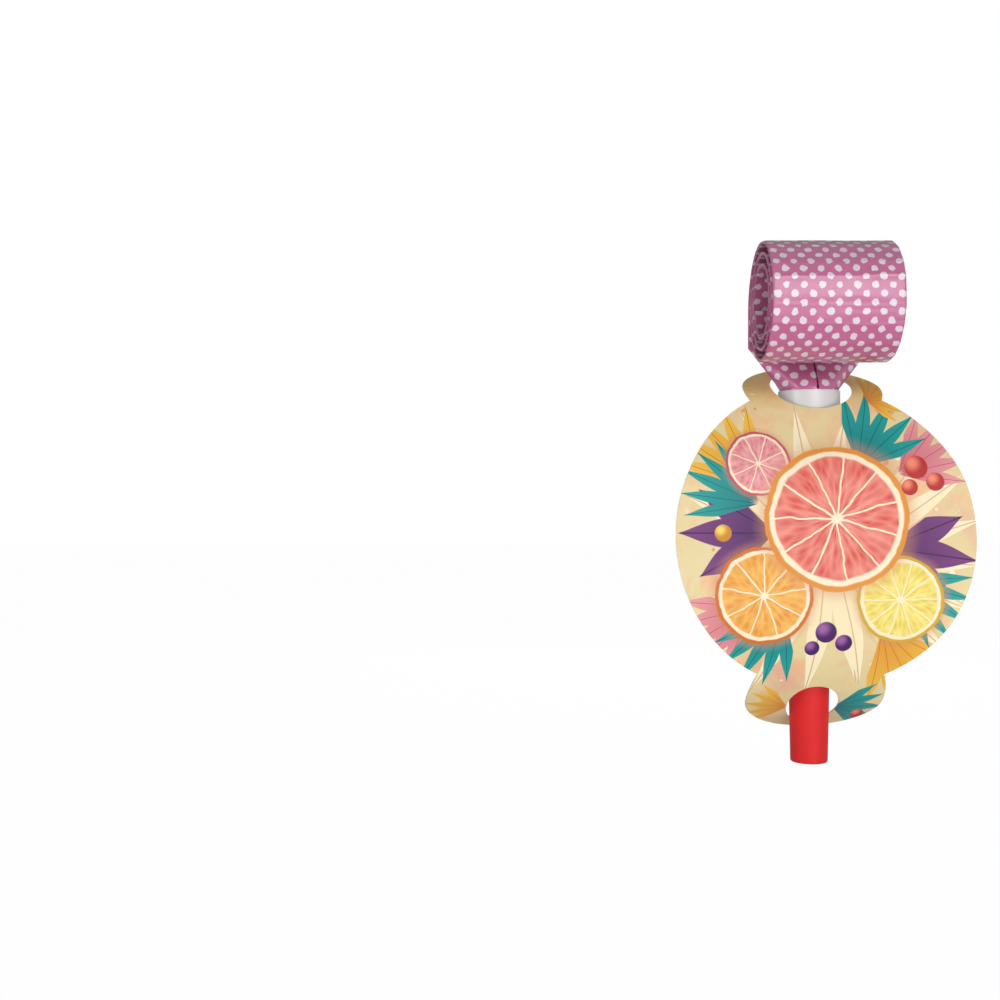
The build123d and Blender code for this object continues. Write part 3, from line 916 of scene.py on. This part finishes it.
# Each fan's middle, size, turn, leaves, pitch, width of a leaf, and its colours at root, tip and rib.
PALE, AMBER = ("#EBD3A2", "#F8EDCB", "#D9AE84"), ("#D98A35", "#F0C64E", "#C4622F")
TEAL, PURPLE = ("#136F78", "#2BA79B", "#0D4E66"), ("#3F2458", "#80427F", "#2A1840")
ROSE = ("#C65B72", "#E7A3A2", "#B04560")
FANS = (
    ((-3, 60), 46, 115, 5, 18, 0.2, PALE), ((4, 58), 45, 35, 5, 20, 0.2, PALE),
    ((0, 62), 46, -115, 5, 18, 0.2, PALE), ((2, 60), 44, -40, 5, 20, 0.2, PALE),
    ((-18, 78), 27, 128, 5, 22, 0.3, AMBER), ((15, 40), 26, -58, 5, 22, 0.3, AMBER),
    ((20, 82), 22, 30, 5, 20, 0.3, ROSE), ((-20, 46), 23, 212, 5, 20, 0.3, ROSE),
    ((16, 62), 26, -8, 3, 12, 0.3, PURPLE), ((-14, 66), 27, 180, 3, 12, 0.3, PURPLE),
    ((9, 84), 25, 58, 5, 20, 0.26, TEAL), ((-12, 45), 24, -118, 5, 20, 0.26, TEAL),
    ((19, 53), 24, -30, 5, 22, 0.26, TEAL), ((-18, 74), 24, 156, 5, 22, 0.26, TEAL),
    ((6, 16), 15, 2, 5, 20, 0.3, TEAL), ((14, 103), 12, 20, 7, 18, 0.3, AMBER),
    ((-7, 16), 13, 174, 5, 20, 0.3, AMBER),
)
for spot, size, turn, leaves, pitch, width, tints in FANS:
    ink = leaf_fan(tree, place, ink, spot, size, turn, leaves, pitch, width, *tints)
# Each slice's middle, size, turn and parts, and its colours: pale and deep flesh, and rind.
SLICES = (
    ((-17, 49), 13.5, 10, 9, "#F3BE62", "#E08A31", "#CF6F2B"),
    ((20, 48), 12, 35, 10, "#F4E68C", "#DFC03D", "#CFA52C"),
    ((-18, 85), 9, 20, 8, "#F0B1AE", "#D8707F", "#C6506A"),
    ((3, 70), 20, 0, 11, "#EE9A8B", "#D3473B", "#DD8F3A"),
)
for fruit in SLICES:
    ink = fruit_slice(tree, place, ink, *fruit)
# Each berry's middle, size and two colours.
RED_SKIN, BLUE_SKIN, GOLD_SKIN = ("#B4302F", "#EF8A72"), ("#4A2560", "#9A62A0"), ("#C98A2B", "#F3D469")
BERRIES = (
    ((25, 84), 3.3, RED_SKIN), ((30, 80), 2.6, RED_SKIN), ((23, 78.5), 2.3, RED_SKIN),
    ((0, 39), 3.0, BLUE_SKIN), ((5, 36), 2.4, BLUE_SKIN), ((-3.5, 34.5), 2.1, BLUE_SKIN),
    ((-28, 66), 2.4, GOLD_SKIN), ((14, 13.5), 1.8, RED_SKIN),
)
for spot, size, skin in BERRIES:
    ink = berry(tree, place, ink, spot, size, *skin)
tooth = add(tree, "TexNoise", {"Vector": place, "Scale": 1 / (0.5 * MM), "Detail": 4.0})
satin = add(tree, "MapRange", {"Value": tooth.outputs["Fac"], "To Min": 0.36, "To Max": 0.48})
relief = add(tree, "Bump", {"Height": tooth.outputs["Fac"], "Strength": 0.08, "Distance": 0.04 * MM})
surface = add(tree, "BsdfPrincipled", {"Base Color": ink, "Roughness": satin.outputs[0], "IOR": 1.5,
                                       "Specular IOR Level": 0.2, "Normal": relief.outputs[0]})
tree.links.new(surface.outputs[0], output.inputs["Surface"])

# Uncoated back and cut edge of the board: grey-white pulp with short fibres.
board_finish, tree, output = new_finish("uncoated_white_board")
place = add(tree, "TexCoord").outputs["Object"]
pulp = add(tree, "TexNoise", {"Vector": place, "Scale": 1 / (0.7 * MM), "Detail": 6.0, "Roughness": 0.7})
cloud = add(tree, "TexNoise", {"Vector": place, "Scale": 1 / (12 * MM), "Detail": 3.0})
tone = add(tree, "Mix", {"Factor": pulp.outputs["Fac"], "A": colour("#CFCBC2"), "B": colour("#E2DFD8")},
           data_type="RGBA")
tone = add(tree, "Mix", {
    "Factor": cloud.outputs["Fac"], "A": tone.outputs["Result"], "B": colour("#DAD6CC")}, data_type="RGBA")
dry = add(tree, "MapRange", {"Value": pulp.outputs["Fac"], "To Min": 0.7, "To Max": 0.85})
relief = add(tree, "Bump", {"Height": pulp.outputs["Fac"], "Strength": 0.2, "Distance": 0.05 * MM})
surface = add(tree, "BsdfPrincipled", {"Base Color": tone.outputs["Result"], "Roughness": dry.outputs[0],
                                       "Normal": relief.outputs[0]})
tree.links.new(surface.outputs[0], output.inputs["Surface"])
print(len(FANS), "fans,", len(SLICES), "slices,", len(BERRIES), "berries")

# %% [markdown]
# ## The bowed card
#
# The card is die-cut flat: a disc with a lobe above and below, each with a hole for the tube. It is cut
# here the same way, by booleans from a finely divided plate, and then bowed. The bow is read from the
# CAD card's own points as a smooth curve of depth over height, so the two agree everywhere.

# %% Die-cut and bow the card
OVAL_POINTS = 256
CARD_THICKNESS = 0.45 * MM
CUTTER_DEPTH = 6
PLATE_COLUMNS, PLATE_ROWS = 84, 112
PLATE_HALF = 0.52
BOW_DEGREE = 14
FACES_FRONT = -0.5
# Each oval's middle, half width, and how far it reaches up and down from its middle, all in mm.
CARD_OVALS = {
    "disc": (65.1, 40.9, 42.4, 42.4),
    "lower_lobe": (18.8, 19.31, 19.0, 10.4),
    "upper_lobe": (106.4, 19.5, 7.6, 10.6),
    "lower_hole": (17.1, 7.21, 5.9, 6.4),
    "upper_hole": (107.3, 11.5, 5.0, 6.6),
}


def thicken(shape, depth):
    """Extrude every face of a flat shape backwards, and turn all faces outwards."""
    grown = bmesh.ops.extrude_face_region(shape, geom=shape.faces[:])["geom"]
    verts = [item for item in grown if isinstance(item, bmesh.types.BMVert)]
    bmesh.ops.translate(shape, verts=verts, vec=(0, depth, 0))
    bmesh.ops.recalc_face_normals(shape, faces=shape.faces)


stand_up = Matrix.Rotation(math.radians(90), 4, "X")
cutters = {}
for name, (middle, half_width, rise, drop) in CARD_OVALS.items():
    shape = bmesh.new()
    bmesh.ops.create_circle(shape, cap_ends=True, segments=OVAL_POINTS, radius=1, matrix=stand_up)
    for vert in shape.verts:
        up = rise if vert.co.z > 0 else drop
        vert.co = Vector((vert.co.x * half_width, -CUTTER_DEPTH / 2, middle + vert.co.z * up)) * MM
    thicken(shape, CUTTER_DEPTH * MM)
    cutters[name] = placed(shape, name)

card_low, card_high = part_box("medallion_card")
card_span = card_high - card_low
shape = bmesh.new()
bmesh.ops.create_grid(shape, x_segments=PLATE_COLUMNS, y_segments=PLATE_ROWS, size=PLATE_HALF,
                      matrix=stand_up)
for vert in shape.verts:
    height = card_low.z + card_span.z * (vert.co.z + 0.5)
    vert.co = Vector((vert.co.x * card_span.x, -CARD_THICKNESS / 2, height))
thicken(shape, CARD_THICKNESS)
plate = placed(shape, "plate")
for owner, tool, way in ((cutters["disc"], "lower_lobe", "UNION"), (cutters["disc"], "upper_lobe", "UNION"),
                         (plate, "disc", "INTERSECT"), (plate, "lower_hole", "DIFFERENCE"),
                         (plate, "upper_hole", "DIFFERENCE")):
    cut = owner.modifiers.new(tool, "BOOLEAN")
    cut.operation = way
    cut.solver = "EXACT"
    cut.object = cutters[tool]
cut_mesh = bpy.data.meshes.new_from_object(plate.evaluated_get(bpy.context.evaluated_depsgraph_get()))
card = bmesh.new()
card.from_mesh(cut_mesh)
bpy.data.meshes.remove(cut_mesh)
for scratch in [plate, *cutters.values()]:
    bpy.data.objects.remove(scratch)

cad_points = np.array([vert.co for vert in frame["nodes"]["medallion_card"].data.vertices])
bow = np.polynomial.Chebyshev.fit(cad_points[:, 2], cad_points[:, 1], BOW_DEGREE)
lean = bow.deriv()
for face in card.faces:
    face.normal_update()
    face.material_index = 0 if face.normal.y < FACES_FRONT else 1
for vert in card.verts:
    stretch = math.sqrt(1 + lean(vert.co.z) ** 2)
    vert.co.y = bow(vert.co.z) + vert.co.y * stretch
misfit = np.abs(bow(cad_points[:, 2]) - cad_points[:, 1]) / np.sqrt(1 + lean(cad_points[:, 2]) ** 2)
print(len(card.faces), "faces; CAD points lie within", round(misfit.max() / MM, 3), "mm of the bow")
printed_card = finished(card, "printed_card", [print_finish, board_finish], ["medallion_card"])
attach(printed_card, "base")
